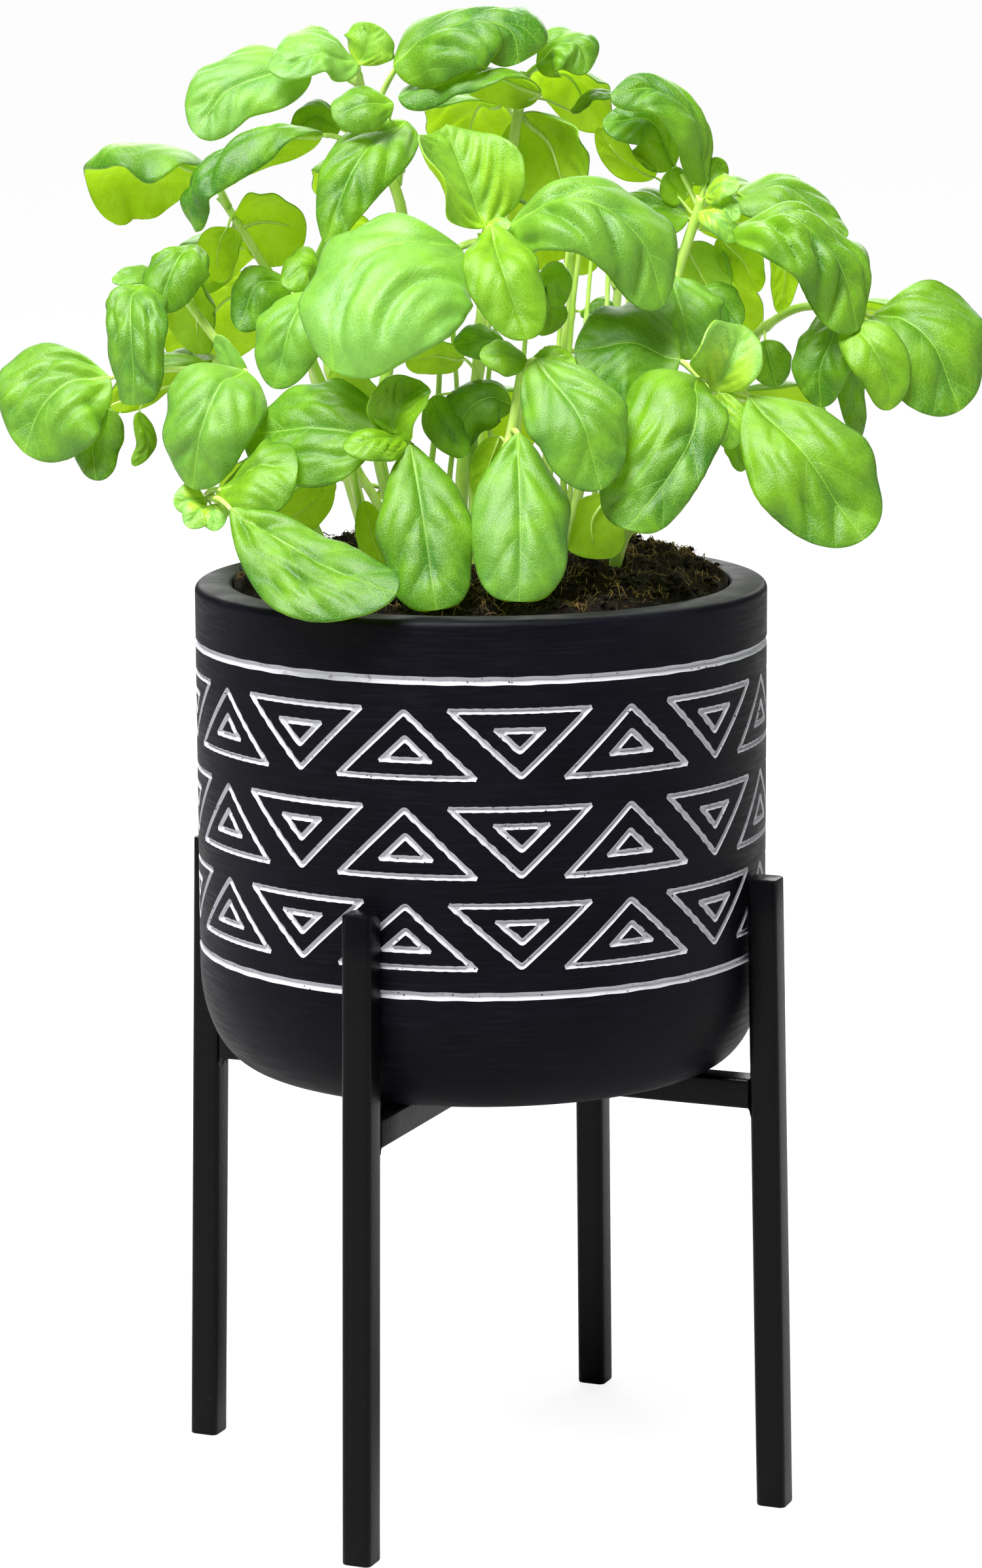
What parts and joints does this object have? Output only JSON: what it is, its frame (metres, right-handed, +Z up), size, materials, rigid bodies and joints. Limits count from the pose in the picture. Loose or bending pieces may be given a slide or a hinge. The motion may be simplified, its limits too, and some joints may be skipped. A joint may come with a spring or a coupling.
{
  "type": "potted basil",
  "caption": "Bushy basil plant with soil in a straight-sided dark pot with two turned rings, resting on a low square-bar stand.",
  "frame": {"origin": "on the floor under the middle of the pot: the pot's axis meets the plane that the feet stand on", "axes": "+Z up along the pot's axis, -Y to the front of the plant, +X to the right as seen from the front"},
  "size_m": [0.2576, 0.1642, 0.3919],
  "materials": {
    "pot": "matt charcoal with fine brushed streaks and pinholes, chalk-white lines in the cut pattern",
    "stand": "satin black powder coat",
    "soil": "damp, crumbly dark brown peat with golden fibres",
    "stem": "smooth pale green, slightly translucent",
    "leaf": "satin fresh green with sunk veins, translucent against light"
  },
  "bodies": {
    "root": {"pot": "pot", "soil": "soil", "leg_front_left": "stand", "leg_right": "stand", "leg_back": "stand", "leg_left": "stand", "stand_cross": "stand", "stem_back_centre": "stem", "stem_back_left": "stem", "stem_back_low": "stem", "stem_back_right": "stem", "stem_front_centre": "stem", "stem_front_left": "stem", "stem_front_right": "stem", "stem_left_back": "stem", "stem_left_inner": "stem", "stem_left_long": "stem", "stem_left_low": "stem", "stem_right_back": "stem", "stem_right_front": "stem", "stem_right_tall": "stem", "stem_tall_centre": "stem", "stem_tall_left": "stem", "leaf_back_centre_low": "leaf", "leaf_back_left_big": "leaf", "leaf_back_right_big": "leaf", "leaf_back_right_low": "leaf", "leaf_back_top_centre": "leaf", "leaf_back_top_left": "leaf", "leaf_back_top_right": "leaf", "leaf_big_lower": "leaf", "leaf_bright_front": "leaf", "leaf_centre_backlit": "leaf", "leaf_centre_right": "leaf", "leaf_crown": "leaf", "leaf_droop_left": "leaf", "leaf_droop_right": "leaf", "leaf_far_left": "leaf", "leaf_far_left_top": "leaf", "leaf_far_right": "leaf", "leaf_hanging_left": "leaf", "leaf_largest_front": "leaf", "leaf_left_arched": "leaf", "leaf_left_backlit": "leaf", "leaf_left_broad": "leaf", "leaf_left_hanging": "leaf", "leaf_left_light": "leaf", "leaf_lower_right": "leaf", "leaf_matt_behind": "leaf", "leaf_over_rim": "leaf", "leaf_quilted_front": "leaf", "leaf_quilted_left": "leaf", "leaf_right_arched": "leaf", "leaf_right_hanging": "leaf", "leaf_right_upper": "leaf", "leaf_round_right": "leaf", "leaf_top_left_long": "leaf", "leaf_top_right": "leaf", "leaf_under_crown": "leaf", "leaf_young_cup": "leaf"}
  },
  "joints": []
}
